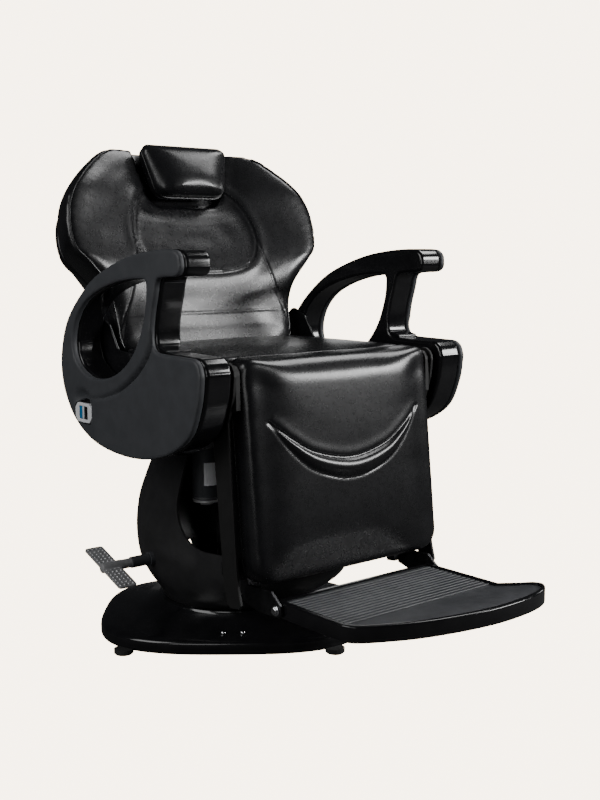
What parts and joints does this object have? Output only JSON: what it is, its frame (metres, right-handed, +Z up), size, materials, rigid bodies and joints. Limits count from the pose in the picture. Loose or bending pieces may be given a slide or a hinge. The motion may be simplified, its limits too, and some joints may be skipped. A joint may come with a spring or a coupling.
{
  "type": "barber chair",
  "caption": "Reclining upholstered barber chair on a swivelling hydraulic column, with loop armrests, sliding headrest, swinging leg rest and folding footrest.",
  "frame": {"origin": "on the floor, under the middle of the box round the whole chair; the column's axis stands 0.1965 m behind it at x 0", "axes": "+Z up; the sitter faces -Y; the sitter's left hand is at +X"},
  "size_m": [0.7, 1.035, 1.0949],
  "materials": {
    "gloss_black": "glossy black",
    "satin_black": "satin black paint",
    "matte_black": "matte dark grey",
    "leather": "glossy black upholstery with a fine grain",
    "rubber": "matte black",
    "chrome": "polished",
    "silver": "dull plated",
    "steel": "dark machined",
    "aluminium": "cast",
    "wood": "plywood",
    "rocker": "glossy blue"
  },
  "bodies": {
    "base": {"base_plate": "gloss_black", "rubber_foot_1": "rubber", "rubber_foot_2": "rubber", "rubber_foot_3": "rubber", "rubber_foot_4": "rubber", "base_bolt_left": "chrome", "base_bolt_right": "chrome", "lower_race": "steel"},
    "column": {"turntable": "steel", "lift_cylinder": "steel", "cylinder_gland": "chrome", "column_cover": "satin_black", "pedal_bush_left": "matte_black", "pedal_bush_right": "matte_black", "power_inlet": "matte_black"},
    "pedals": {"pedal_shaft": "steel", "pedal_collar_left": "matte_black", "pedal_collar_right": "matte_black", "pedal_left": "silver", "pedal_right": "silver"},
    "seat": {"lift_ram": "chrome", "mount_plate": "steel", "seat_frame": "steel", "seat_board": "wood", "seat_cushion": "leather", "arm_body_left": "gloss_black", "arm_body_right": "gloss_black", "arm_panel_left": "matte_black", "arm_panel_right": "matte_black", "pump_motor": "matte_black", "motor_end_cap": "silver", "pump_block": "aluminium", "switch_bezel": "chrome", "switch_body": "matte_black", "hinge_lug_left": "steel", "hinge_lug_right": "steel", "hinge_pin_left": "chrome", "hinge_pin_right": "chrome", "leg_lug_left": "steel", "leg_lug_right": "steel"},
    "rocker": {"switch_rocker": "rocker"},
    "back": {"back_cushion": "leather", "back_board": "wood", "back_shell": "satin_black", "headrest_guide": "steel", "back_strap_left": "steel", "back_strap_right": "steel"},
    "headrest": {"headrest_cushion": "leather", "headrest_board": "wood", "headrest_stem": "chrome"},
    "leg_rest": {"calf_pad": "leather", "calf_board": "satin_black", "leg_arm_left": "satin_black", "leg_arm_right": "satin_black", "footrest_carrier": "steel"},
    "footrest": {"footrest_tray": "gloss_black", "tray_bolt_left": "chrome", "tray_bolt_right": "chrome", "ribbed_mat": "rubber"}
  },
  "joints": [
    {"name": "chair_swivel", "type": "hinge", "parent": "base", "child": "column", "pos_m": [0, 0.1965, 0.0875], "axis": [0, 0, 1], "continuous": true},
    {"name": "pedal_rock", "type": "hinge", "parent": "column", "child": "pedals", "pos_m": [0, 0.2415, 0.174], "axis": [1, 0, 0], "range_deg": [-10, 10], "stiffness_Nm_per_rad": 30},
    {"name": "seat_lift", "type": "slide", "parent": "column", "child": "seat", "axis": [0, 0, 1], "range_m": [0, 0.15]},
    {"name": "switch_rock", "type": "hinge", "parent": "seat", "child": "rocker", "pos_m": [-0.3455, 0.2425, 0.513], "axis": [0, 0, 1], "range_deg": [-8, 8], "stiffness_Nm_per_rad": 0.05},
    {"name": "recline", "type": "hinge", "parent": "seat", "child": "back", "pos_m": [0, 0.3265, 0.575], "axis": [-1, 0, 0], "range_deg": [0, 50]},
    {"name": "headrest_slide", "type": "slide", "parent": "back", "child": "headrest", "axis": [0, 0.2419, 0.9703], "range_m": [0, 0.1]},
    {"name": "leg_swing", "type": "hinge", "parent": "seat", "child": "leg_rest", "pos_m": [0, -0.1445, 0.618], "axis": [-1, 0, 0], "range_deg": [0, 60]},
    {"name": "footrest_fold", "type": "hinge", "parent": "leg_rest", "child": "footrest", "pos_m": [0, -0.2285, 0.176], "axis": [-1, 0, 0], "range_deg": [0, 75]}
  ],
  "couplings": [
    {"joint": "leg_swing", "follows": "recline", "ratio": 1.2}
  ]
}
